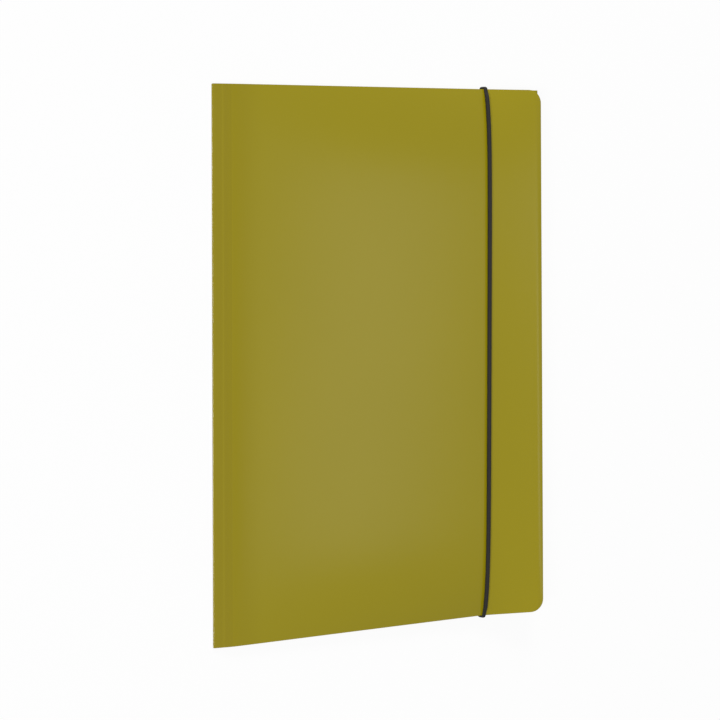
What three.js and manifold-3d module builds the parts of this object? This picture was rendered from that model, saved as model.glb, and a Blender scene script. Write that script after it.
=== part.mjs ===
// A three flap folder, closed and lying on its back panel, with its elastic round it.
// Millimetres. X runs from the spine to the fore edge, Y runs up the height of the folder,
// Z is up. The origin is on the table, under the middle of the folder.
//
// The folder is one sheet of film, cut, creased and folded. Seen along Y, the sheet starts at
// the fore edge of the front cover, runs left over the top, turns round the spine, runs right
// as the back panel, climbs the gusset at the fore edge and comes back left as the side flap.
// The top flap and the bottom flap fold in from the two ends of the back panel.

import * as THREE from "three";
import { mergeVertices } from "three/addons/utils/BufferGeometryUtils.js";
import Module from "manifold-3d";

// Driving dimensions of the sheet
const folderWidth = 240;
const folderHeight = 320;
const sheetThickness = 0.45;
const sheetGap = 0.25; // air between two layers that lie on each other
const foldRadius = 0.35; // middle of the sheet, where it is folded flat
const creaseRadius = 0.6; // middle of the sheet, where it is creased to a corner
const coverCornerRadius = 8;
const spineWidth = 11.6;
const spineAngle = THREE.MathUtils.degToRad(13.3); // rise of the flattened spine
const shoulderSoftness = 0.8; // twice the depth that the bend from spine to cover rounds off
const gussetWidth = 11.2;
const gussetLean = 1.5; // how far the gusset leans in under the cover
const coverRest = 0.525; // air between the crease of the side flap and the cover
const coverTwist = 4.4; // how much higher the cover springs at the bottom fore corner
const edgeSag = 0.3; // dip of the cover's top and bottom edges between spine and elastic
const sideFlapDepth = 90;
const sideFlapShortfall = 2.4; // how much shorter than the folder the side flap is
const endFlapDepth = 95;
const endFlapCrease = 12; // second crease of the top and bottom flaps, from their fold
const endFlapTaper = 7;
const endFlapInsetSpine = 10;
const endFlapInsetFore = 4;
const flapCornerRadius = 8;

// Driving dimensions of the elastic and its end barbs
const elasticDiameter = 2.5;
const elasticInset = 39.3; // from the fore edge
const coverBendSoftness = 1; // how gently the cover turns up at the elastic
const elasticBow = 3.8; // how far the cover lifts the elastic at half height
const bowLength = 20; // distance over which that lift grows in from the edge
const holeInset = 14; // from the top or bottom edge
const holeClearance = 0.55;
const fitGap = 0.3;
const barbLength = 11;
const barbWidth = 2.6;
const barbThickness = 1;
const liftReach = 90; // down the height, where the back panel comes down to the table again
const liftSpread = 25; // the same to the left and right of the elastic
const liftMargin = 0.5; // level part of the back panel past the barb

// Heights of the layers, as the middle of the sheet
const half = sheetThickness / 2;
const layerPitch = sheetThickness + sheetGap;
const halfWidth = folderWidth / 2;
const halfHeight = folderHeight / 2;
const elasticX = halfWidth - elasticInset;
const lift = elasticDiameter + fitGap;
const layersAtElastic = 4; // back panel, end flap, side flap, cover
const pinchCover = lift + half + (layersAtElastic - 1) * layerPitch;
const spineCentreX = -halfWidth + half + foldRadius;
const spineStartX = spineCentreX - foldRadius * Math.sin(spineAngle);
const spineStartZ = half + foldRadius + foldRadius * Math.cos(spineAngle);
const spineCreaseX = spineStartX + spineWidth * Math.cos(spineAngle);
const spineCreaseZ = spineStartZ + spineWidth * Math.sin(spineAngle);
const gussetRise = Math.sqrt(gussetWidth ** 2 - gussetLean ** 2);
const gussetTopZ = half + gussetRise;
const gussetTopX = halfWidth - half - gussetLean;
const foreCoverTop = gussetTopZ + sheetThickness + coverRest;
const barbRoom = sheetThickness + barbThickness + 2 * sheetGap;
const flatFoldInset = half + foldRadius;
const liftPlateau = barbLength / 2 + liftMargin;

// Smooth step down from 1 at zero to 0 at reach
function fade(distance, reach) {
  const share = THREE.MathUtils.clamp(distance / reach, 0, 1);
  return (1 + Math.cos(Math.PI * share)) / 2;
}

// The back panel rests on the table, and rides up over the two stubs of elastic under it
function backZ(x, y) {
  const along = Math.max(Math.abs(x - elasticX) - liftPlateau, 0);
  const levelDepth = holeInset + barbWidth / 2 + liftMargin;
  const inward = Math.max(halfHeight - Math.abs(y) - levelDepth, 0);
  return half + lift * fade(along, liftSpread) * fade(inward, liftReach);
}

// A bend at zero between a flat run on the left and a slope of 1 on the right
function softBend(distance) {
  return (distance + Math.hypot(distance, coverBendSoftness) - coverBendSoftness) / 2;
}

// The cover runs from the spine crease to the elastic and then rises to the fore edge. Its
// two slopes are worked out so that it passes through the heights at all three places.
function sharpCoverZ(x, y) {
  const fromEdge = halfHeight - Math.abs(y);
  const atElastic = pinchCover + elasticBow * (1 - Math.exp(-fromEdge / bowLength));
  const atFore = foreCoverTop + coverTwist * (0.5 - y / folderHeight);
  const inner = elasticX - spineCreaseX;
  const outer = halfWidth - elasticX;
  const bendInner = -softBend(-inner);
  const bendOuter = softBend(outer);
  const slope =
    ((atElastic - spineCreaseZ) * bendOuter - (atFore - atElastic) * bendInner) /
    (inner * bendOuter - outer * bendInner);
  const turn = (atFore - atElastic - outer * slope) / bendOuter;
  const across = THREE.MathUtils.clamp((x - spineCreaseX) / inner, 0, 1);
  const sag = edgeSag * 4 * across * (1 - across) * Math.exp(-fromEdge / bowLength);
  const height = spineCreaseZ + slope * (x - spineCreaseX);
  return height + turn * (softBend(x - elasticX) + bendInner) - sag;
}

// How far the film lies under the sharp crease between the spine and the cover
function shoulderDrop(x, y) {
  const spineZ = spineStartZ + (x - spineStartX) * Math.tan(spineAngle);
  const apart = spineZ - sharpCoverZ(x, y);
  return (Math.hypot(apart, shoulderSoftness) - Math.abs(apart)) / 2;
}

function coverZ(x, y) {
  return sharpCoverZ(x, y) - shoulderDrop(x, y);
}

// The side flap lies under the cover and comes down to the gusset's own height at its crease
function sideFlapZ(x, y) {
  const spare = coverZ(gussetTopX, y) - layerPitch - gussetTopZ;
  const outward = THREE.MathUtils.clamp((x - elasticX) / (gussetTopX - elasticX), 0, 1);
  return coverZ(x, y) - layerPitch - spare * outward;
}

// An end flap climbs from its fold to its crease, to clear the barb, and then runs level
function endFlapZ(x, y) {
  const fromFold = halfHeight - Math.abs(y) - flatFoldInset;
  const climbed = THREE.MathUtils.clamp(fromFold / (endFlapCrease - flatFoldInset), 0, 1);
  return backZ(x, y) + layerPitch + (barbRoom - layerPitch) * climbed;
}

// Moves a point of a square corner block onto a rounded corner. The corner is at (cornerX,
// cornerY), and inwardX and inwardY point from it into the panel.
function roundCorner(x, y, cornerX, cornerY, inwardX, inwardY, radius) {
  const a = 1 - ((x - cornerX) * inwardX) / radius;
  const b = 1 - ((y - cornerY) * inwardY) / radius;
  if (a <= 0 || b <= 0) return [x, y];
  const roundA = a * Math.sqrt(1 - (b * b) / 2);
  const roundB = b * Math.sqrt(1 - (a * a) / 2);
  return [
    cornerX + inwardX * radius * (1 - roundA),
    cornerY + inwardY * radius * (1 - roundB),
  ];
}

// Evenly spaced numbers from start to end, without the start
function stepsTo(start, end, count) {
  return Array.from({ length: count }, (_, i) => start + ((end - start) * (i + 1)) / count);
}

// Runs of evenly spaced numbers: a start, then pairs of end and count
function runs(start, ...stretches) {
  const list = [start];
  for (const [end, count] of stretches) {
    list.push(...stepsTo(list[list.length - 1], end, count));
  }
  return list;
}

// Rows up the height: close together in the rounded corners and where the elastic pulls the
// cover down
const cornerRows = 3;
const cornerRow = halfHeight - coverCornerRadius;
const pulledRow = halfHeight - 1.5 * bowLength;
const calmRow = halfHeight - 3 * bowLength;
const upperRows = runs(0, [calmRow, 2], [pulledRow, 2], [cornerRow, 3], [halfHeight, cornerRows]);
const rows = [...upperRows.slice(1).reverse().map((y) => -y), ...upperRows];

// Width on each side of the elastic, and of the spine crease, where the cover bends
const bendZone = 8;
const shoulderReach = 12;

// Columns across the sheet, each a function from a row to a point of the middle of the sheet
const columns = [];

function addCover() {
  const xs = runs(halfWidth, [halfWidth - coverCornerRadius, cornerRows],
    [elasticX + bendZone, 2], [elasticX - bendZone, 4], [spineCreaseX + shoulderReach, 6],
    [spineCreaseX, 3]);
  for (const x of xs) {
    columns.push((row) => {
      const side = Math.sign(row) || 1;
      const [px, py] = roundCorner(x, row, halfWidth, side * halfHeight, -1, -side,
        coverCornerRadius);
      return [px, py, coverZ(px, py)];
    });
  }
}

function addSpine() {
  for (const run of stepsTo(spineWidth, 0, 4)) {
    const x = spineStartX + run * Math.cos(spineAngle);
    const z = spineStartZ + run * Math.sin(spineAngle);
    const share = run / spineWidth;
    columns.push((row) => [x, row, z - share * shoulderDrop(x, row)]);
  }
  const turn = Math.PI - spineAngle;
  for (const angle of stepsTo(turn, 0, 5)) {
    const x = spineCentreX - foldRadius * Math.sin(angle);
    const z = half + foldRadius - foldRadius * Math.cos(angle);
    const shrink = 1 - (flatFoldInset / halfHeight) * (1 - angle / turn);
    columns.push((row) => [x, row * shrink, z]);
  }
}

// The back panel starts with the last column of the spine's fold. Its ends stop short of the
// folder's by the inset of the flat fold, where the end flaps turn over.
const backShare = 1 - flatFoldInset / halfHeight;
const flapSpineX = -halfWidth + endFlapInsetSpine;
const flapForeX = halfWidth - endFlapInsetFore;
const foreBendX = halfWidth - half - creaseRadius;
const flapColumns = {};

function addBack() {
  const xs = runs(spineCentreX, [flapSpineX, 1], [flapSpineX + flapCornerRadius, cornerRows],
    [elasticX - liftPlateau - liftSpread, 4], [elasticX - liftPlateau, 4],
    [elasticX + liftPlateau, 2], [flapForeX - flapCornerRadius, 3],
    [flapForeX, cornerRows], [foreBendX, 1]);
  for (const x of xs.slice(1)) {
    if (x === flapSpineX) flapColumns.first = columns.length;
    if (x === flapForeX) flapColumns.last = columns.length;
    columns.push((row) => [x, row * backShare, backZ(x, row * backShare)]);
  }
}

// The side flap is a little shorter than the folder, with nearly all of the difference at the
// bottom
function flapRow(row) {
  const top = halfHeight - sheetGap;
  const bottom = sideFlapShortfall - halfHeight;
  return THREE.MathUtils.lerp(bottom, top, (row / halfHeight + 1) / 2);
}

function addGusset() {
  const lean = Math.atan2(gussetLean, gussetRise);
  const foot = [foreBendX, half + creaseRadius];
  for (const angle of stepsTo(0, Math.PI / 2, 3)) {
    const x = foot[0] + creaseRadius * Math.sin(angle);
    const z = foot[1] - creaseRadius * Math.cos(angle);
    columns.push((row) => [x, row * backShare, z]);
  }
  const topCentre = [gussetTopX - creaseRadius, gussetTopZ - creaseRadius];
  const middleX = (halfWidth - half + gussetTopX) / 2;
  const middleZ = (foot[1] + topCentre[1]) / 2;
  columns.push((row) => [middleX, (row * backShare + flapRow(row)) / 2, middleZ]);
  for (const angle of [0, ...stepsTo(0, Math.PI / 2 - lean, 3)]) {
    const x = topCentre[0] + creaseRadius * Math.cos(angle);
    const z = topCentre[1] + creaseRadius * Math.sin(angle);
    columns.push((row) => [x, flapRow(row), z]);
  }
}

function addSideFlap() {
  const freeX = gussetTopX - sideFlapDepth;
  const start = gussetTopX - 2 * creaseRadius;
  const xs = runs(start, [elasticX + bendZone, 2], [elasticX - bendZone, 4],
    [freeX + flapCornerRadius, 2], [freeX, cornerRows]);
  for (const x of xs) {
    columns.push((row) => {
      const side = Math.sign(row) || 1;
      const y = flapRow(row);
      const [px, py] = roundCorner(x, y, freeX, flapRow(side * halfHeight), 1, -side,
        flapCornerRadius);
      return [px, py, sideFlapZ(px, py)];
    });
  }
}

// Rows of an end flap, from the end of the back panel: first round the flat fold, then inward.
// Each is a function from an X at the fold to a point, with end = 1 at the top, -1 at the
// bottom.
function endFlapRows(end) {
  const list = [];
  for (const angle of stepsTo(0, Math.PI, 5)) {
    list.push((x) => {
      const y = end * (halfHeight - flatFoldInset + foldRadius * Math.sin(angle));
      return [x, y, backZ(x, y) + (layerPitch * (1 - Math.cos(angle))) / 2];
    });
  }
  const middle = (flapSpineX + flapForeX) / 2;
  const reach = (flapForeX - flapSpineX) / 2;
  const depths = runs(flatFoldInset, [endFlapCrease, 2], [holeInset + barbWidth, 1],
    [endFlapDepth - flapCornerRadius, 4], [endFlapDepth, cornerRows]);
  for (const depth of depths.slice(1)) {
    const narrow = 1 - (endFlapTaper * depth) / endFlapDepth / reach;
    list.push((x) => {
      const side = Math.sign(x - middle);
      const [rootX, rootY] = roundCorner(x, end * (halfHeight - depth),
        middle + side * reach, end * (halfHeight - endFlapDepth), -side, end,
        flapCornerRadius);
      const px = middle + (rootX - middle) * narrow;
      return [px, rootY, endFlapZ(px, rootY)];
    });
  }
  return list;
}

// Turns a net of square cells of the middle of the sheet into a closed solid: the net is
// copied to both sides, half a thickness out, and its open edges are closed by a rim.
function sheetSolid(points, cells, thickness) {
  const normals = points.map(() => new THREE.Vector3());
  const edgeA = new THREE.Vector3();
  const edgeB = new THREE.Vector3();
  for (const [a, b, c, d] of cells) {
    edgeA.subVectors(points[c], points[a]);
    edgeB.subVectors(points[d], points[b]);
    const normal = edgeA.cross(edgeB).normalize();
    for (const corner of [a, b, c, d]) normals[corner].add(normal);
  }
  const positions = [];
  for (const side of [1, -1]) {
    points.forEach((point, i) => {
      const out = normals[i].clone().normalize().multiplyScalar((side * thickness) / 2);
      positions.push(...point.clone().add(out).toArray());
    });
  }
  const under = points.length;
  const index = [];
  const open = new Map();
  for (const [a, b, c, d] of cells) {
    index.push(a, b, c, a, c, d);
    index.push(under + a, under + c, under + b, under + a, under + d, under + c);
    for (const [from, to] of [[a, b], [b, c], [c, d], [d, a]]) {
      if (!open.delete(`${to}-${from}`)) open.set(`${from}-${to}`, [from, to]);
    }
  }
  for (const [from, to] of open.values()) {
    index.push(to, from, under + from, to, under + from, under + to);
  }
  const geometry = new THREE.BufferGeometry();
  geometry.setAttribute("position", new THREE.Float32BufferAttribute(positions, 3));
  geometry.setIndex(index);
  return geometry;
}

function folderGeometry() {
  addCover();
  addSpine();
  addBack();
  addGusset();
  addSideFlap();
  const points = [];
  const cells = [];
  const addPoint = (point) => points.push(new THREE.Vector3(...point)) - 1;
  const belt = columns.map((place) => rows.map((row) => addPoint(place(row))));
  for (let i = 0; i + 1 < belt.length; i++) {
    for (let j = 0; j + 1 < rows.length; j++) {
      cells.push([belt[i][j], belt[i][j + 1], belt[i + 1][j + 1], belt[i + 1][j]]);
    }
  }
  for (const end of [1, -1]) {
    const flapBelt = belt.slice(flapColumns.first, flapColumns.last + 1);
    let previous = flapBelt.map((column) => column[end > 0 ? rows.length - 1 : 0]);
    const roots = previous.map((i) => points[i].x);
    for (const place of endFlapRows(end)) {
      const next = roots.map((x) => addPoint(place(x)));
      for (let i = 0; i + 1 < next.length; i++) {
        const cell = [previous[i], next[i], next[i + 1], previous[i + 1]];
        cells.push(end > 0 ? cell : cell.reverse());
      }
      previous = next;
    }
  }
  return sheetSolid(points, cells, sheetThickness);
}

// Solids for cutting
const manifold = await Module();
manifold.setup();

function toSolid(geometry) {
  const bare = geometry.clone();
  bare.deleteAttribute("normal");
  bare.deleteAttribute("uv");
  const merged = mergeVertices(bare, 1e-4);
  return new manifold.Manifold(new manifold.Mesh({
    numProp: 3,
    vertProperties: new Float32Array(merged.attributes.position.array),
    triVerts: new Uint32Array(merged.index.array),
  }));
}

function toGeometry(solid) {
  const mesh = solid.getMesh();
  const geometry = new THREE.BufferGeometry();
  geometry.setAttribute("position", new THREE.BufferAttribute(mesh.vertProperties, 3));
  geometry.setIndex(new THREE.BufferAttribute(mesh.triVerts, 1));
  geometry.computeVertexNormals();
  return geometry;
}

// A round punch through the back panel alone, at one end of the elastic
function punch(end) {
  const radius = elasticDiameter / 2 + holeClearance;
  const sides = 24;
  const geometry = new THREE.CylinderGeometry(radius, radius, barbRoom, sides);
  geometry.rotateX(Math.PI / 2);
  geometry.translate(elasticX, end * (halfHeight - holeInset), lift + half);
  return toSolid(geometry);
}

function makeFolder() {
  const sheet = toSolid(folderGeometry());
  return toGeometry(sheet.subtract(punch(1)).subtract(punch(-1)));
}

// The route of the elastic's middle line, from inside the top hole to inside the bottom hole.
// Stations are close together in the bends and wide apart down the front.
class ElasticRoute extends THREE.Curve {
  constructor() {
    super();
    const radius = elasticDiameter / 2;
    const stand = radius + fitGap;
    const lowZ = radius;
    const holeY = halfHeight - holeInset;
    const turn = lift + sheetThickness - lowZ;
    const stackTop = pinchCover + half;
    const ends = [];
    for (const angle of [0, ...stepsTo(0, Math.PI / 2, 4)]) {
      ends.push([holeY + turn * (1 - Math.cos(angle)), lowZ + turn * (1 - Math.sin(angle))]);
    }
    ends.push([(holeY + turn + halfHeight) / 2, lowZ]);
    for (const angle of [0, ...stepsTo(0, Math.PI / 2, 3)]) {
      ends.push([halfHeight + stand * Math.sin(angle), lift - stand * Math.cos(angle)]);
    }
    for (const angle of [0, ...stepsTo(0, Math.PI / 2, 3)]) {
      ends.push([halfHeight + stand * Math.cos(angle), stackTop + stand * Math.sin(angle)]);
    }
    const frontSteps = 44;
    const front = stepsTo(1, -1, frontSteps).slice(0, -1).map((share) => {
      const y = halfHeight * share;
      return [y, coverZ(elasticX, y) + half + stand];
    });
    const mirrored = ends.map(([y, z]) => [-y, z]).reverse();
    this.stations = [...ends, ...front, ...mirrored].map(
      ([y, z]) => new THREE.Vector3(elasticX, y, z));
  }

  get steps() {
    return this.stations.length - 1;
  }

  getPoint(t, target = new THREE.Vector3()) {
    const place = t * this.steps;
    const before = Math.min(Math.floor(place), this.steps - 1);
    return target.lerpVectors(this.stations[before], this.stations[before + 1], place - before);
  }

  getTangent(t, target = new THREE.Vector3()) {
    const nearest = Math.round(t * this.steps);
    const before = this.stations[Math.max(nearest - 1, 0)];
    const after = this.stations[Math.min(nearest + 1, this.steps)];
    return target.subVectors(after, before).normalize();
  }

  getUtoTmapping(u) {
    return u;
  }
}

function makeElastic() {
  const sides = 8;
  const section = new THREE.Shape();
  for (let i = 0; i < sides; i++) {
    const angle = ((i + 0.5) * 2 * Math.PI) / sides;
    const x = (elasticDiameter / 2) * Math.cos(angle);
    const y = (elasticDiameter / 2) * Math.sin(angle);
    if (i === 0) section.moveTo(x, y);
    else section.lineTo(x, y);
  }
  const route = new ElasticRoute();
  return new THREE.ExtrudeGeometry(section, { steps: route.steps, extrudePath: route });
}

// A flat bar with round ends, crimped on the end of the elastic inside the back panel
function makeBarb(end) {
  const reach = (barbLength - barbWidth) / 2;
  const bar = new THREE.Shape();
  bar.absarc(reach, 0, barbWidth / 2, -Math.PI / 2, Math.PI / 2);
  bar.absarc(-reach, 0, barbWidth / 2, Math.PI / 2, (3 * Math.PI) / 2);
  const geometry = new THREE.ExtrudeGeometry(bar, {
    depth: barbThickness,
    bevelEnabled: false,
    curveSegments: 8,
  });
  const seat = lift + sheetThickness + sheetGap;
  geometry.translate(elasticX, end * (halfHeight - holeInset), seat);
  return geometry;
}

const film = new THREE.MeshStandardMaterial({ color: 0x978b29, roughness: 0.42, metalness: 0 });
const cord = new THREE.MeshStandardMaterial({ color: 0x2e2b2b, roughness: 0.8, metalness: 0 });
const steel = new THREE.MeshStandardMaterial({ color: 0xb4b4b2, roughness: 0.35, metalness: 1 });

function named(name, geometry, material) {
  const mesh = new THREE.Mesh(geometry, material);
  mesh.name = name;
  return mesh;
}

const group = new THREE.Group();
group.add(named("folder", makeFolder(), film));
group.add(named("elastic_band", makeElastic(), cord));
group.add(named("top_end_barb", makeBarb(1), steel));
group.add(named("bottom_end_barb", makeBarb(-1), steel));

export default group;
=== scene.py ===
"""A three flap folder of olive polypropylene film, closed, on a white table, with its elastic.

The folder lies on its back panel. X runs from the spine to the fore edge, Y up the height and
Z off the table. Lengths are in millimetres until a mesh is finished, and metres after that.
"""

import math

import bmesh
import bpy
from mathutils import Matrix, Vector


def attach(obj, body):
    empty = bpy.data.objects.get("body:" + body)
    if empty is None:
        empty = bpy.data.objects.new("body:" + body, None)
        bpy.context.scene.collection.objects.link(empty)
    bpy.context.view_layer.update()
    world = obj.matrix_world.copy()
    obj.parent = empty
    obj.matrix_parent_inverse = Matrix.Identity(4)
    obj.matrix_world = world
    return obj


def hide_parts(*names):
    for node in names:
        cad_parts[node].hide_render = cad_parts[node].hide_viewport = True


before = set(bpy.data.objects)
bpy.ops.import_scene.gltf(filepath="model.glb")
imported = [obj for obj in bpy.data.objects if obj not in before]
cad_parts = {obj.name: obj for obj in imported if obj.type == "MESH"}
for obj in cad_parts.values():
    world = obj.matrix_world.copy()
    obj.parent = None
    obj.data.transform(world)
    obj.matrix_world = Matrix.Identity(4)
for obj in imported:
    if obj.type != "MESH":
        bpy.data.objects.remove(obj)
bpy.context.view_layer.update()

MM = 0.001

# The closed folder
HALF_WIDTH = 120
HALF_HEIGHT = 160

# The film and how it is cut and folded
FILM = 0.45
LAYER_GAP = 0.25
FOLD_RADIUS = 0.35
CREASE_RADIUS = 0.6
SPINE_WIDTH = 11.6
SPINE_ANGLE = math.radians(13.3)
GUSSET_WIDTH = 11.2
GUSSET_LEAN = 1.5
SHOULDER_SOFTNESS = 0.8
COVER_REST = 0.525
COVER_TWIST = 4.4
COVER_CORNER = 8
EDGE_SAG = 0.3
BEND_SOFTNESS = 1
SIDE_FLAP_DEPTH = 90
SIDE_FLAP_SHORTFALL = 2.4
END_FLAP_DEPTH = 95
END_FLAP_CREASE = 12
END_FLAP_TAPER = 7
END_FLAP_INSET_SPINE = 10
END_FLAP_INSET_FORE = 4
FLAP_CORNER = 8
CUT_EDGE_ROUNDING = 0.07

# A score line is pressed into the outside of the film: half its width, and its depth
SCORE_HALF = 0.45
SCORE_DEPTH = 0.035

# The elastic and its barbs
ELASTIC = 2.5
ELASTIC_INSET = 39.3
ELASTIC_BOW = 3.8
BOW_LENGTH = 20
HOLE_INSET = 14
HOLE_PLAY = 0.55
HOLE_RADIUS = ELASTIC / 2 + HOLE_PLAY
FIT_GAP = 0.3
BARB_LENGTH = 11
BARB_WIDTH = 2.6
BARB_THICKNESS = 1
LIFT_REACH = 90
LIFT_SPREAD = 25
LIFT_MARGIN = 0.5

# The stretched elastic is squeezed flat where it goes over the edges
HOOK_THICKNESS = 1.5
HOOK_REACH = 6

# How far the finished surfaces stay inside the outline that the frame gives
BOX_MARGIN = 0.02

# How finely the pieces are divided
CELL = 4.0
FOLD_CELL = 0.2
SPINE_CELL = SPINE_WIDTH / 8
GUSSET_CELL = 2
SHOULDER_CELL = 1.6
SHOULDER_REACH = 14
SHOULDER_SPACE = 2
END_CELL = 2.5
CLIMB_CELL = 3
BEND_STEPS = (0, 0.6, 1.4, 2.6, 4.2)
BEND_CLEAR = 6
HOLE_CLEAR = 4
HOLE_SIDES = 24
CORNER_SEGMENTS = 8
CUT_EDGE_SEGMENTS = 2
CUT_EDGE_ANGLE = math.radians(50)
CORD_SIDES = 32
QUARTER_TURN = math.pi / 2
CORD_TURN = math.pi / 20
CORD_STEP_BACK = 1
CORD_STEP_FRONT = 0.8

# Points closer than this are one, in millimetres on the blank and in metres on the cord
SAME_PLACE = 1e-4
NO_LENGTH = 1e-5
SAME_PLACE_ON_CORD = 1e-6

# The film's finish. Here and below a colour is linear red, green and blue, the scale of a noise
# is per metre, and a bump is its strength and its depth in millimetres.
FILM_COLOUR = (0.339, 0.277, 0.0040)
FILM_COLOUR_TWO = (0.333, 0.273, 0.0040)
# Painted shade: a darker colour, with less blue, on the cover's shoulder by the spine
FILM_SHOULDER_SHADE = (0.316, 0.2555, 0.0025)
# Painted shade: darker still on the spine strip
FILM_SPINE_SHADE = (0.288, 0.231, 0.0055)
# Painted highlight: lighter and bluer along the spine's middle score
FILM_SCORE_HIGHLIGHT = (0.339, 0.276, 0.009)
FILM_ROUGHNESS = 0.13
FILM_ROUGHNESS_RANGE = 0.04
FILM_IOR = 1.49
FILM_CLOUDS = 9.0
FILM_CLOUD_EDGES = (0.3, 0.7)
FILM_GRAIN = 2600.0
FILM_BUMP = (0.25, 0.04)
# How much of the painted highlight lies along the middle score, and the distances from the score
# in millimetres over which it fades out
SCORE_HIGHLIGHT_SHARE = 0.3
SCORE_HIGHLIGHT_EDGES = (0.2, 1.2)

# How far before the spine's crease the painted shade sets in, first on the cover's shoulder and
# then darker for the spine strip, and how far past a crease that change ends
SHOULDER_SHADE_START = 24
SPINE_SHADE_LEAD = 3
SHADE_RAMP_PAST_CREASE = 4

# The elastic's finish
CORD_DEEP = (0.008, 0.0072, 0.0068)
CORD_STRAND = (0.018, 0.0160, 0.0150)
CORD_ROUGHNESS = 0.8
CORD_FUZZ = 9000.0
CORD_FUZZ_SHARE = 0.35
CORD_BUMP = (0.8, 0.12)
BRAID_LENGTH = 0.9
BRAID_STRANDS = 8
BRAID_EDGES = (0.55, 1.0)

# The barbs' finish
STEEL_COLOUR = (0.6, 0.6, 0.59)
STEEL_ROUGHNESS = 0.28
STEEL_ROUGHNESS_RANGE = 0.14
STEEL_GRAIN = 1400.0
STEEL_BUMP = (0.15, 0.02)

# How fine the noises are
NOISE_DETAIL = 2.0
PATCH_DETAIL = 3.0

# The table, half of its side in metres
WHITE = (1, 1, 1)
PAINT_COLOUR = (0.92, 0.92, 0.92)
TABLE_GLOW = 0.93
TABLE_SIZE = 6

# The photograph's view. Its distance, target and range are in metres.
VIEW_YAW = math.radians(39.135)
VIEW_PITCH = math.radians(3.80)
VIEW_ROLL = math.radians(0.033)
VIEW_DISTANCE = 1.7128
VIEW_TARGET = Vector((-0.01604, 0.00023, 0.005))
VIEW_LENS = 146.05
VIEW_SENSOR = 36
VIEW_NEAR = 0.05
VIEW_FAR = 50

# Each lamp's direction from the folder, its distance and sides in metres, and its power.
# The first side runs along Y.
SOFTBOX = ((0.578, -0.066, 0.813), 1.6, (0.50, 0.19), 0.24)
TOP_KEY = ((-0.15, 0.95, 0.5), 4.0, (1.2, 1.2), 84.0)
LEFT_FILL = ((-0.8, -0.1, 0.6), 4.0, (1.2, 1.2), 72.0)
ROOM_LIGHT = 0.36

# Places that follow from the sizes above
HALF = FILM / 2
PITCH = FILM + LAYER_GAP
ELASTIC_X = HALF_WIDTH - ELASTIC_INSET
LIFT = ELASTIC + FIT_GAP
PINCH = LIFT + HALF + 3 * PITCH
SPINE_CENTRE_X = -HALF_WIDTH + HALF + FOLD_RADIUS
SPINE_START_X = SPINE_CENTRE_X - FOLD_RADIUS * math.sin(SPINE_ANGLE)
SPINE_START_Z = HALF + FOLD_RADIUS + FOLD_RADIUS * math.cos(SPINE_ANGLE)
SPINE_CREASE_X = SPINE_START_X + SPINE_WIDTH * math.cos(SPINE_ANGLE)
SPINE_CREASE_Z = SPINE_START_Z + SPINE_WIDTH * math.sin(SPINE_ANGLE)
GUSSET_RISE = math.sqrt(GUSSET_WIDTH**2 - GUSSET_LEAN**2)
GUSSET_TOP_Z = HALF + GUSSET_RISE
GUSSET_TOP_X = HALF_WIDTH - HALF - GUSSET_LEAN
FORE_COVER_TOP = GUSSET_TOP_Z + FILM + COVER_REST
BARB_ROOM = FILM + BARB_THICKNESS + 2 * LAYER_GAP
FOLD_INSET = HALF + FOLD_RADIUS
BACK_END = HALF_HEIGHT - FOLD_INSET
PLATEAU = BARB_LENGTH / 2 + LIFT_MARGIN
HOLE_Y = HALF_HEIGHT - HOLE_INSET

# The flat blank. U runs along the belt from the fore edge of the cover to the free edge of
# the side flap, V up the height. Each stretch of the belt has a length in U.
COVER_RUN = HALF_WIDTH - SPINE_CREASE_X
SPINE_TURN = math.pi - SPINE_ANGLE
SPINE_FOLD_RUN = FOLD_RADIUS * SPINE_TURN
FORE_BEND_X = HALF_WIDTH - HALF - CREASE_RADIUS
BACK_RUN = FORE_BEND_X - SPINE_CENTRE_X
FOOT_RUN = CREASE_RADIUS * math.pi / 2
WALL_FOOT = (HALF_WIDTH - HALF, HALF + CREASE_RADIUS)
WALL_HEAD = (GUSSET_TOP_X, GUSSET_TOP_Z - CREASE_RADIUS)
WALL_RUN = math.hypot(WALL_HEAD[0] - WALL_FOOT[0], WALL_HEAD[1] - WALL_FOOT[1])
HEAD_TURN = math.pi / 2 - math.atan2(GUSSET_LEAN, GUSSET_RISE)
HEAD_RUN = CREASE_RADIUS * HEAD_TURN
SIDE_START_X = GUSSET_TOP_X - 2 * CREASE_RADIUS
LAND_RUN = CREASE_RADIUS
SIDE_END_X = GUSSET_TOP_X - SIDE_FLAP_DEPTH
SIDE_RUN = SIDE_START_X - SIDE_END_X

U_SPINE = COVER_RUN
U_FOLD = U_SPINE + SPINE_WIDTH
U_BACK = U_FOLD + SPINE_FOLD_RUN
U_FOOT = U_BACK + BACK_RUN
U_WALL = U_FOOT + FOOT_RUN
U_HEAD = U_WALL + WALL_RUN
U_LAND = U_HEAD + HEAD_RUN
U_SIDE = U_LAND + LAND_RUN
U_END = U_SIDE + SIDE_RUN
U_HOLE = U_BACK + ELASTIC_X - SPINE_CENTRE_X
U_SPINE_MIDDLE = U_SPINE + SPINE_WIDTH / 2
SCORES = (U_SPINE, U_SPINE_MIDDLE)

SIDE_TOP = HALF_HEIGHT - LAYER_GAP
SIDE_BOTTOM = SIDE_FLAP_SHORTFALL - HALF_HEIGHT
FLAP_FOLD_RUN = FOLD_RADIUS * math.pi
V_FLAP = BACK_END + FLAP_FOLD_RUN
V_END = V_FLAP + END_FLAP_DEPTH - FOLD_INSET
U_FLAP_SPINE = U_BACK + (-HALF_WIDTH + END_FLAP_INSET_SPINE - SPINE_CENTRE_X)
U_FLAP_FORE = U_BACK + (HALF_WIDTH - END_FLAP_INSET_FORE - SPINE_CENTRE_X)


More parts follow.
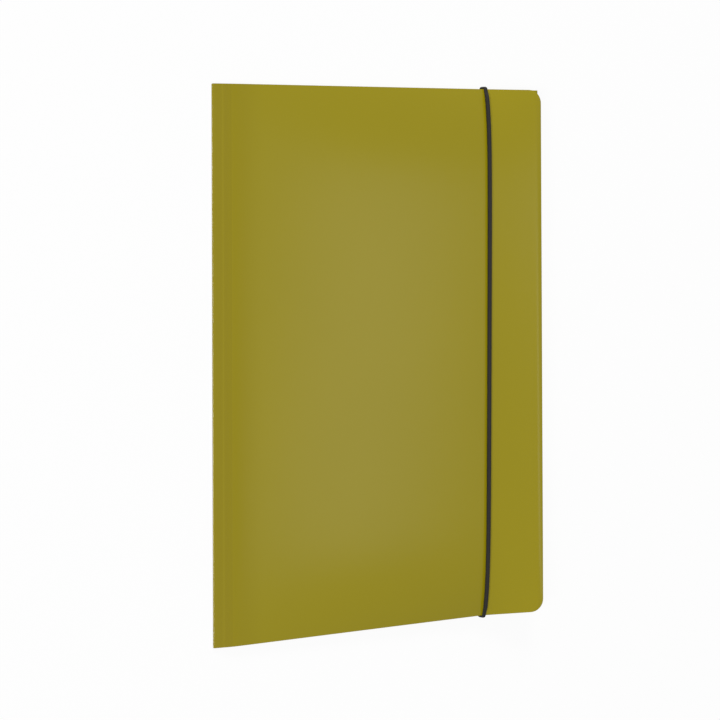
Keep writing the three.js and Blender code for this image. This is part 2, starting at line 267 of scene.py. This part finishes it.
def clamp(value, low=0.0, high=1.0):
    return max(low, min(high, value))


def mix(start, end, share):
    return start + (end - start) * share


def fade(distance, reach):
    """Smooth step down from 1 at zero to 0 at reach."""
    return (1 + math.cos(math.pi * clamp(distance / reach))) / 2


def spread(start, end, step):
    """Evenly spaced values between start and end, about a step apart, with both ends."""
    count = max(1, round(abs(end - start) / step))
    return [mix(start, end, i / count) for i in range(count + 1)]


def back_z(x, y):
    """The back panel lies on the table and rides up over the two stubs of elastic."""
    along = max(abs(x - ELASTIC_X) - PLATEAU, 0)
    level_depth = HOLE_INSET + BARB_WIDTH / 2 + LIFT_MARGIN
    inward = max(HALF_HEIGHT - abs(y) - level_depth, 0)
    return HALF + LIFT * fade(along, LIFT_SPREAD) * fade(inward, LIFT_REACH)


def soft_bend(distance):
    """A bend at zero between a flat run on the left and a slope of 1 on the right."""
    return (distance + math.hypot(distance, BEND_SOFTNESS) - BEND_SOFTNESS) / 2


def sharp_cover_z(x, y):
    """The cover runs from the spine crease to the elastic and then rises to the fore edge."""
    from_edge = HALF_HEIGHT - abs(y)
    at_elastic = PINCH + ELASTIC_BOW * (1 - math.exp(-from_edge / BOW_LENGTH))
    at_fore = FORE_COVER_TOP + COVER_TWIST * (0.5 - y / (2 * HALF_HEIGHT))
    inner = ELASTIC_X - SPINE_CREASE_X
    outer = HALF_WIDTH - ELASTIC_X
    bend_inner = -soft_bend(-inner)
    bend_outer = soft_bend(outer)
    rise_inner = (at_elastic - SPINE_CREASE_Z) * bend_outer
    rise_outer = (at_fore - at_elastic) * bend_inner
    slope = (rise_inner - rise_outer) / (inner * bend_outer - outer * bend_inner)
    turn = (at_fore - at_elastic - outer * slope) / bend_outer
    across = clamp((x - SPINE_CREASE_X) / inner)
    sag = EDGE_SAG * 4 * across * (1 - across) * math.exp(-from_edge / BOW_LENGTH)
    height = SPINE_CREASE_Z + slope * (x - SPINE_CREASE_X)
    return height + turn * (soft_bend(x - ELASTIC_X) + bend_inner) - sag


def shoulder_drop(x, y):
    """How far the film lies under the sharp crease between the spine and the cover."""
    spine_z = SPINE_START_Z + (x - SPINE_START_X) * math.tan(SPINE_ANGLE)
    apart = spine_z - sharp_cover_z(x, y)
    return (math.hypot(apart, SHOULDER_SOFTNESS) - abs(apart)) / 2


def cover_z(x, y):
    return sharp_cover_z(x, y) - shoulder_drop(x, y)


def side_flap_z(x, y):
    spare = cover_z(GUSSET_TOP_X, y) - PITCH - GUSSET_TOP_Z
    outward = clamp((x - ELASTIC_X) / (GUSSET_TOP_X - ELASTIC_X))
    return cover_z(x, y) - PITCH - spare * outward


def end_flap_z(x, y):
    """An end flap climbs from its fold to its crease, to clear the barb, and then runs level."""
    from_fold = HALF_HEIGHT - abs(y) - FOLD_INSET
    climbed = clamp(from_fold / (END_FLAP_CREASE - FOLD_INSET))
    return back_z(x, y) + PITCH + (BARB_ROOM - PITCH) * climbed


def head_arc(angle):
    x = GUSSET_TOP_X - CREASE_RADIUS + CREASE_RADIUS * math.cos(angle)
    z = GUSSET_TOP_Z - CREASE_RADIUS + CREASE_RADIUS * math.sin(angle)
    return x, z


def fold_belt(u, v):
    """The place of a point of the belt once the sheet is folded."""
    if u <= U_SPINE:
        x = HALF_WIDTH - u
        return x, v, cover_z(x, v)
    if u <= U_FOLD:
        run = U_FOLD - u
        x = SPINE_START_X + run * math.cos(SPINE_ANGLE)
        drop = run / SPINE_WIDTH * shoulder_drop(x, v)
        return x, v, SPINE_START_Z + run * math.sin(SPINE_ANGLE) - drop
    if u <= U_BACK:
        angle = SPINE_TURN * (U_BACK - u) / SPINE_FOLD_RUN
        x = SPINE_CENTRE_X - FOLD_RADIUS * math.sin(angle)
        return x, v, HALF + FOLD_RADIUS - FOLD_RADIUS * math.cos(angle)
    if u <= U_FOOT:
        x = SPINE_CENTRE_X + u - U_BACK
        return x, v, back_z(x, v)
    if u <= U_WALL:
        angle = (u - U_FOOT) / CREASE_RADIUS
        x = FORE_BEND_X + CREASE_RADIUS * math.sin(angle)
        return x, v, HALF + CREASE_RADIUS - CREASE_RADIUS * math.cos(angle)
    if u <= U_HEAD:
        share = (u - U_WALL) / WALL_RUN
        x = mix(WALL_FOOT[0], WALL_HEAD[0], share)
        return x, v, mix(WALL_FOOT[1], WALL_HEAD[1], share)
    if u <= U_LAND:
        x, z = head_arc((u - U_HEAD) / CREASE_RADIUS)
        return x, v, z
    if u <= U_SIDE:
        share = (u - U_LAND) / LAND_RUN
        x, z = head_arc(HEAD_TURN)
        return mix(x, SIDE_START_X, share), v, mix(z, side_flap_z(SIDE_START_X, v), share)
    x = SIDE_START_X - (u - U_SIDE)
    return x, v, side_flap_z(x, v)


def fold_flap(u, v):
    """The place of a point of the top or bottom flap once it is folded in."""
    end = math.copysign(1, v)
    x = SPINE_CENTRE_X + u - U_BACK
    past = abs(v) - BACK_END
    if past <= FLAP_FOLD_RUN:
        angle = past / FOLD_RADIUS
        y = end * (BACK_END + FOLD_RADIUS * math.sin(angle))
        return x, y, back_z(x, y) + PITCH * (1 - math.cos(angle)) / 2
    y = end * (BACK_END - (past - FLAP_FOLD_RUN))
    return x, y, end_flap_z(x, y)


def fold(u, v):
    in_flap = U_FLAP_SPINE - 1 < u < U_FLAP_FORE + 1 and abs(v) > BACK_END + SAME_PLACE
    return fold_flap(u, v) if in_flap else fold_belt(u, v)


def blank_outline():
    """The corners of the die-cut blank, anticlockwise, and the radius of each rounded one."""
    top = [
        (0, HALF_HEIGHT, COVER_CORNER),
        (U_FOLD, HALF_HEIGHT, 0),
        (U_BACK, BACK_END, 0),
        (U_FLAP_SPINE, BACK_END, 0),
        (U_FLAP_SPINE + END_FLAP_TAPER, V_END, FLAP_CORNER),
        (U_FLAP_FORE - END_FLAP_TAPER, V_END, FLAP_CORNER),
        (U_FLAP_FORE, BACK_END, 0),
        (U_WALL, BACK_END, 0),
        (U_HEAD, SIDE_TOP, 0),
        (U_END, SIDE_TOP, FLAP_CORNER),
    ]
    bottom = [(u, -v, radius) for u, v, radius in reversed(top)]
    bottom[0] = (U_END, SIDE_BOTTOM, FLAP_CORNER)
    bottom[1] = (U_HEAD, SIDE_BOTTOM, 0)
    return top + bottom


def cut_blank():
    """The flat blank as one face with rounded corners."""
    sheet = bmesh.new()
    outline = blank_outline()
    corners = [sheet.verts.new((u, v, 0)) for u, v, radius in outline]
    sheet.faces.new(corners)
    for corner, (u, v, radius) in zip(corners, outline):
        if radius:
            bmesh.ops.bevel(
                sheet,
                geom=[corner],
                offset=radius,
                offset_type="OFFSET",
                segments=CORNER_SEGMENTS,
                profile=0.5,
                affect="VERTICES",
                material=-1,
                clamp_overlap=False,
            )
    return sheet


def slice_blank(sheet, point, normal):
    bmesh.ops.bisect_plane(
        sheet,
        geom=sheet.verts[:] + sheet.edges[:] + sheet.faces[:],
        dist=SAME_PLACE,
        plane_co=point,
        plane_no=normal,
    )


def around_elastic(u):
    """Close lines on both sides of the bend that the elastic presses into a panel."""
    return [u + side * step for step in BEND_STEPS for side in (-1, 1)]


def divide_blank(sheet):
    """Cuts the blank into small cells, with a line of edges at every crease and bend."""
    cover_elastic = ELASTIC_INSET
    side_elastic = U_SIDE + SIDE_START_X - ELASTIC_X
    shoulder = U_SPINE - SHOULDER_REACH
    lines = spread(0, cover_elastic - BEND_CLEAR, CELL)
    lines += around_elastic(cover_elastic)
    lines += spread(cover_elastic + BEND_CLEAR, shoulder - SHOULDER_SPACE, CELL)
    lines += spread(shoulder, U_SPINE, SHOULDER_CELL)
    lines += spread(U_SPINE, U_FOLD, SPINE_CELL)
    lines += spread(U_FOLD, U_BACK, FOLD_CELL)
    lines += spread(U_BACK, U_HOLE - HOLE_CLEAR, CELL) + [U_HOLE]
    lines += spread(U_HOLE + HOLE_CLEAR, U_FOOT, CELL)
    lines += spread(U_FOOT, U_WALL, FOLD_CELL)
    lines += spread(U_WALL, U_HEAD, GUSSET_CELL)
    lines += spread(U_HEAD, U_LAND, FOLD_CELL)
    lines += spread(U_LAND, side_elastic - BEND_CLEAR, CELL)
    lines += around_elastic(side_elastic)
    lines += spread(side_elastic + BEND_CLEAR, U_END, CELL)
    for score in SCORES:
        lines += [score + side * SCORE_HALF for side in (-1, -0.5, 0.5, 1)]
    for u in sorted({round(u, 4) for u in lines})[1:]:
        slice_blank(sheet, (u, 0, 0), (1, 0, 0))
    climbed = V_FLAP + END_FLAP_CREASE
    rows = spread(0, HOLE_Y - HOLE_CLEAR, CELL) + [HOLE_Y]
    rows += spread(HOLE_Y + HOLE_CLEAR, BACK_END, END_CELL)
    rows += spread(BACK_END, V_FLAP, FOLD_CELL)
    rows += spread(V_FLAP, climbed, CLIMB_CELL)
    rows += spread(climbed + CELL, V_END, CELL)
    for v in sorted({round(v, 4) for v in rows}):
        for end in (1, -1) if v else (1,):
            slice_blank(sheet, (0, end * v, 0), (0, 1, 0))


def punch_hole(sheet, end):
    """Takes four cells out of the back panel and bridges their edge to a round hole."""
    centre = Vector((U_HOLE, end * HOLE_Y, 0))
    inside = [
        face
        for face in sheet.faces
        if max(abs(c) for c in (face.calc_center_median() - centre)[:2]) < HOLE_CLEAR
    ]
    rim = {edge for face in inside for edge in face.edges}
    rim = [edge for edge in rim if sum(face in inside for face in edge.link_faces) == 1]
    bmesh.ops.delete(sheet, geom=inside, context="FACES")
    circle = bmesh.ops.create_circle(
        sheet,
        cap_ends=False,
        segments=HOLE_SIDES,
        radius=HOLE_RADIUS,
        matrix=Matrix.Translation(centre),
    )
    hole = {edge for vert in circle["verts"] for edge in vert.link_edges}
    rim = [edge for edge in rim if edge.is_valid]
    bmesh.ops.bridge_loops(sheet, edges=rim + list(hole))


def score_depth(u):
    """How deep a score line is pressed into the outside of the film."""
    nearest = min(abs(u - score) for score in SCORES)
    return SCORE_DEPTH * clamp(1 - nearest / SCORE_HALF)


def finish_mesh(name, shape):
    """Turns a finished bmesh into a piece of the scene."""
    mesh = bpy.data.meshes.new(name)
    shape.to_mesh(mesh)
    shape.free()
    piece = bpy.data.objects.new(name, mesh)
    bpy.context.collection.objects.link(piece)
    return piece


def make_folder():
    """Cuts the blank, punches it, folds it and gives the film its thickness."""
    sheet = cut_blank()
    divide_blank(sheet)
    for end in (1, -1):
        punch_hole(sheet, end)
    bmesh.ops.dissolve_degenerate(sheet, dist=NO_LENGTH, edges=sheet.edges)
    flat = sheet.loops.layers.uv.new("flat")
    for face in sheet.faces:
        for loop in face.loops:
            loop[flat].uv = loop.vert.co.xy * MM
    for vert in sheet.verts:
        u, v = vert.co.xy
        x, y, z = fold(u, v)
        vert.co = Vector((x, y, z - score_depth(u))) * MM
    bmesh.ops.recalc_face_normals(sheet, faces=sheet.faces)
    for face in sheet.faces:
        face.smooth = True
    folder = finish_mesh("folder_film", sheet)
    wall = folder.modifiers.new("film", "SOLIDIFY")
    wall.thickness = (FILM - BOX_MARGIN) * MM
    wall.offset = 0
    wall.use_even_offset = True
    soften = folder.modifiers.new("cut edge", "BEVEL")
    soften.width = CUT_EDGE_ROUNDING * MM
    soften.segments = CUT_EDGE_SEGMENTS
    soften.limit_method = "ANGLE"
    soften.angle_limit = CUT_EDGE_ANGLE
    soften.harden_normals = False
    return folder


def radius_over_edge(y):
    """Half the thickness of the elastic, square to the film, at a distance from the edge."""
    squeezed = fade(max(HALF_HEIGHT - abs(y), 0), HOOK_REACH)
    return mix(ELASTIC, HOOK_THICKNESS, squeezed) / 2


def resting_height(y):
    """Height of the elastic's middle line where it lies in the bend of the cover."""
    radius = ELASTIC / 2
    highest = 0
    for tenth in range(-9, 10):
        off = radius * tenth / 10
        top = cover_z(ELASTIC_X + off, y) + HALF
        highest = max(highest, top + math.sqrt(radius**2 - off**2))
    return highest


def elastic_stations():
    """The elastic's middle line as (y, z), from inside the top hole to inside the bottom one."""
    radius = ELASTIC / 2
    low = radius + BOX_MARGIN
    turn = LIFT + FILM - low
    stand = HOOK_THICKNESS / 2 + BOX_MARGIN
    stack_top = PINCH + HALF
    quarter = spread(0, QUARTER_TURN, CORD_TURN)
    top = [
        (HOLE_Y + turn * (1 - math.cos(angle)), low + turn * (1 - math.sin(angle)))
        for angle in quarter
    ]
    for y in spread(HOLE_Y + turn, HALF_HEIGHT, CORD_STEP_BACK)[1:-1]:
        climbed = (y - HOLE_Y - turn) / (HALF_HEIGHT - HOLE_Y - turn)
        top.append((y, mix(low, LIFT - stand, climbed)))
    for angle in quarter:
        top.append((HALF_HEIGHT + stand * math.sin(angle), LIFT - stand * math.cos(angle)))
    for angle in quarter:
        top.append((HALF_HEIGHT + stand * math.cos(angle), stack_top + stand * math.sin(angle)))
    front = []
    for y in spread(HALF_HEIGHT, -HALF_HEIGHT, CORD_STEP_FRONT)[1:-1]:
        front.append((y, resting_height(y) - radius + radius_over_edge(y)))
    return top + front + [(-y, z) for y, z in reversed(top)]


def make_elastic():
    """A round cord: a grid wrapped round the middle line, with its seam welded."""
    stations = [Vector((y, z)) for y, z in elastic_stations()]
    last = len(stations) - 1
    lengths = [0]
    for before, after in zip(stations, stations[1:]):
        lengths.append(lengths[-1] + (after - before).length)
    cord = bmesh.new()
    bmesh.ops.create_grid(cord, x_segments=last, y_segments=CORD_SIDES, size=0.5)
    wrapped = cord.loops.layers.uv.new("wrapped")
    places = {}
    for vert in cord.verts:
        index = round((vert.co.x + 0.5) * last)
        share = vert.co.y + 0.5
        before = stations[max(index - 1, 0)]
        after = stations[min(index + 1, last)]
        ahead = (after - before).normalized()
        out = Vector((-ahead.y, ahead.x))
        angle = 2 * math.pi * share
        middle = stations[index] + out * radius_over_edge(stations[index].x) * math.sin(angle)
        x = ELASTIC_X + ELASTIC / 2 * math.cos(angle)
        places[vert] = Vector((x, middle.x, middle.y)) * MM
        for loop in vert.link_loops:
            loop[wrapped].uv = (lengths[index] * MM, share)
    for vert, place in places.items():
        vert.co = place
    bmesh.ops.remove_doubles(cord, verts=cord.verts, dist=SAME_PLACE_ON_CORD)
    bmesh.ops.holes_fill(cord, edges=[edge for edge in cord.edges if edge.is_boundary])
    bmesh.ops.recalc_face_normals(cord, faces=cord.faces)
    for face in cord.faces:
        face.smooth = len(face.verts) == 4
    return finish_mesh("elastic_cord", cord)


def full(colour):
    """Gives a plain colour its fourth number, and leaves a colour from a node alone."""
    return colour if isinstance(colour, Value) else (*colour, 1)


class Value:
    """A node's output on its way through a material, used in sums as a number is."""

    def __init__(self, finish, socket):
        self.finish = finish
        self.socket = socket

    def maths(self, operation, *terms):
        return self.finish.add("ShaderNodeMath", {"operation": operation}, dict(enumerate(terms)))

    def __add__(self, other):
        return self.maths("ADD", self, other)

    def __radd__(self, other):
        return self.maths("ADD", other, self)

    def __sub__(self, other):
        return self.maths("SUBTRACT", self, other)

    def __rsub__(self, other):
        return self.maths("SUBTRACT", other, self)

    def __mul__(self, other):
        return self.maths("MULTIPLY", self, other)

    def __rmul__(self, other):
        return self.maths("MULTIPLY", other, self)

    def __abs__(self):
        return self.maths("ABSOLUTE", self)

    def sine(self):
        return self.maths("SINE", self)

    def or_larger(self, other):
        return self.maths("MAXIMUM", self, other)

    def rise(self, low, high):
        """0 below low and 1 above high, smooth between."""
        steps = {"interpolation_type": "SMOOTHSTEP"}
        return self.finish.add("ShaderNodeMapRange", steps, {0: self, 1: low, 2: high})


class Finish:
    """A material while its nodes are laid out."""

    def __init__(self, name):
        self.material = bpy.data.materials.new(name)
        self.material.use_nodes = True
        self.tree = self.material.node_tree
        self.tree.nodes.clear()

    def add(self, kind, settings=None, inputs=None, output=0):
        """Adds a node: its settings first, then its sockets. Gives one output, or several."""
        node = self.tree.nodes.new(kind)
        for name, setting in (settings or {}).items():
            setattr(node, name, setting)
        for name, value in (inputs or {}).items():
            if isinstance(value, Value):
                self.tree.links.new(value.socket, node.inputs[name])
            else:
                node.inputs[name].default_value = value
        if isinstance(output, tuple):
            return [Value(self, node.outputs[name]) for name in output]
        return Value(self, node.outputs[output]) if node.outputs else None

    def noise(self, place, scale, detail):
        cloud = {"Vector": place, "Scale": scale, "Detail": detail}
        return self.add("ShaderNodeTexNoise", None, cloud)

    def split(self, place):
        return self.add("ShaderNodeSeparateXYZ", None, {"Vector": place}, ("X", "Y"))

    def colours(self, share, first, second):
        """A share of the second colour over the first. A colour's sockets are 6, 7 and out 2."""
        blend = {0: share, 6: full(first), 7: full(second)}
        return self.add("ShaderNodeMix", {"data_type": "RGBA"}, blend, 2)

    def bump(self, strength_and_depth, height):
        strength, depth = strength_and_depth
        relief = {"Strength": strength, "Distance": depth * MM, "Height": height}
        return self.add("ShaderNodeBump", None, relief)

    def close(self, shader):
        self.add("ShaderNodeOutputMaterial", None, {"Surface": shader})
        return self.material


def olive_film():
    """Satin polypropylene: a fine grain, painted shade darker towards the spine, and a painted
    highlight lighter along its score.
    """
    finish = Finish("olive_film")
    sheet, place = finish.add("ShaderNodeTexCoord", output=("UV", "Object"))
    along = finish.split(sheet)[0]
    soft = finish.noise(place, FILM_CLOUDS, PATCH_DETAIL)
    grain = finish.noise(place, FILM_GRAIN, NOISE_DETAIL)
    # Painted highlight along the spine's middle score
    from_score = abs(along - U_SPINE_MIDDLE * MM)
    inner, outer = SCORE_HIGHLIGHT_EDGES
    crease = 1 - from_score.rise(inner * MM, outer * MM)
    # Painted shade: the shoulder's colour, then the darker spine colour from just before the
    # spine's crease, fading out round the spine's fold onto the back panel
    spine_edge = (U_SPINE - SPINE_SHADE_LEAD) * MM
    pressed = along.rise(spine_edge, (U_SPINE + SHADE_RAMP_PAST_CREASE) * MM)
    past_spine = along.rise(U_FOLD * MM, (U_BACK + SHADE_RAMP_PAST_CREASE) * MM)
    shade_share = along.rise((U_SPINE - SHOULDER_SHADE_START) * MM, spine_edge) * (1 - past_spine)
    panels = finish.colours(soft.rise(*FILM_CLOUD_EDGES), FILM_COLOUR, FILM_COLOUR_TWO)
    spine = finish.colours(pressed, FILM_SHOULDER_SHADE, FILM_SPINE_SHADE)
    whole = finish.colours(shade_share, panels, spine)
    base_with_painted_light = finish.colours(crease * SCORE_HIGHLIGHT_SHARE, whole, FILM_SCORE_HIGHLIGHT)
    film = {
        "Base Color": base_with_painted_light,
        "Roughness": soft * FILM_ROUGHNESS_RANGE + FILM_ROUGHNESS,
        "IOR": FILM_IOR,
        "Normal": finish.bump(FILM_BUMP, grain),
    }
    return finish.close(finish.add("ShaderNodeBsdfPrincipled", None, film))


def black_elastic():
    """Braided polyester over rubber: two sets of strands that cross on the slant."""
    finish = Finish("black_elastic")
    wrapping, place = finish.add("ShaderNodeTexCoord", output=("UV", "Object"))
    length, turn = finish.split(wrapping)
    along = length * (1 / (BRAID_LENGTH * MM))
    around = turn * BRAID_STRANDS
    right = abs(((along + around) * math.pi).sine())
    left = abs(((along - around) * math.pi).sine())
    relief = right.or_larger(left)
    fibre = finish.noise(place, CORD_FUZZ, NOISE_DETAIL)
    cord = {
        "Base Color": finish.colours(relief.rise(*BRAID_EDGES), CORD_DEEP, CORD_STRAND),
        "Roughness": CORD_ROUGHNESS,
        "Normal": finish.bump(CORD_BUMP, relief + fibre * CORD_FUZZ_SHARE),
    }
    return finish.close(finish.add("ShaderNodeBsdfPrincipled", None, cord))


def barb_steel():
    """Bright steel, a little duller in patches."""
    finish = Finish("barb_steel")
    place = finish.add("ShaderNodeTexCoord", output="Object")
    worn = finish.noise(place, STEEL_GRAIN, PATCH_DETAIL)
    steel = {
        "Base Color": full(STEEL_COLOUR),
        "Metallic": 1.0,
        "Roughness": worn * STEEL_ROUGHNESS_RANGE + STEEL_ROUGHNESS,
        "Normal": finish.bump(STEEL_BUMP, worn),
    }
    return finish.close(finish.add("ShaderNodeBsdfPrincipled", None, steel))


def white_table():
    """Plain white to the camera, in reflections and through film, and paint to the lamps."""
    finish = Finish("white_table")
    rays = ("Is Camera Ray", "Is Glossy Ray", "Is Transmission Ray")
    camera, reflected, through = finish.add("ShaderNodeLightPath", output=rays)
    seen = camera.or_larger(reflected).or_larger(through)
    paint = finish.add("ShaderNodeBsdfDiffuse", None, {"Color": full(PAINT_COLOUR)})
    glow = finish.add("ShaderNodeEmission", None, {"Color": full(WHITE), "Strength": 1.0})
    blend = {0: seen * TABLE_GLOW, 1: paint, 2: glow}
    return finish.close(finish.add("ShaderNodeMixShader", None, blend))


def add_table():
    grid = bmesh.new()
    bmesh.ops.create_grid(grid, x_segments=1, y_segments=1, size=TABLE_SIZE)
    table = finish_mesh("table", grid)
    table.data.materials.append(white_table())


def add_camera():
    data = bpy.data.cameras.new("view")
    data.lens = VIEW_LENS
    data.sensor_width = VIEW_SENSOR
    data.clip_start = VIEW_NEAR
    data.clip_end = VIEW_FAR
    camera = bpy.data.objects.new("view", data)
    bpy.context.collection.objects.link(camera)
    across = math.sin(VIEW_YAW) * math.cos(VIEW_PITCH)
    down = -math.cos(VIEW_YAW) * math.cos(VIEW_PITCH)
    forward = Vector((across, -math.sin(VIEW_PITCH), down))
    right = forward.cross(Vector((0, 1, 0))).normalized()
    up = right.cross(forward)
    turn = Matrix((right, up, -forward)).transposed().to_4x4()
    place = Matrix.Translation(VIEW_TARGET - VIEW_DISTANCE * forward)
    camera.matrix_world = place @ turn @ Matrix.Rotation(VIEW_ROLL, 4, "Z")
    bpy.context.scene.camera = camera


def add_lamp(name, direction, distance, sides, power):
    data = bpy.data.lights.new(name, "AREA")
    data.shape = "RECTANGLE"
    data.size, data.size_y = sides
    data.energy = power
    lamp = bpy.data.objects.new(name, data)
    bpy.context.collection.objects.link(lamp)
    aim = Vector(direction).normalized()
    lamp.location = aim * distance
    lamp.rotation_euler = aim.to_track_quat("Z", "Y").to_euler()


def light_scene():
    world = bpy.data.worlds.new("studio")
    bpy.context.scene.world = world
    world.use_nodes = True
    room = world.node_tree.nodes["Background"]
    room.inputs["Color"].default_value = full(WHITE)
    room.inputs["Strength"].default_value = ROOM_LIGHT
    add_lamp("softbox", *SOFTBOX)
    add_lamp("top_key", *TOP_KEY)
    add_lamp("left_fill", *LEFT_FILL)


def main():
    add_camera()
    folder = make_folder()
    folder.data.materials.append(olive_film())
    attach(folder, "root")
    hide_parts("folder")
    elastic = make_elastic()
    elastic.data.materials.append(black_elastic())
    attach(elastic, "root")
    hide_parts("elastic_band")
    steel = barb_steel()
    for node in ("top_end_barb", "bottom_end_barb"):
        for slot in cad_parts[node].material_slots:
            slot.material = steel
    add_table()
    light_scene()
    bpy.context.scene.view_settings.view_transform = "Standard"


main()
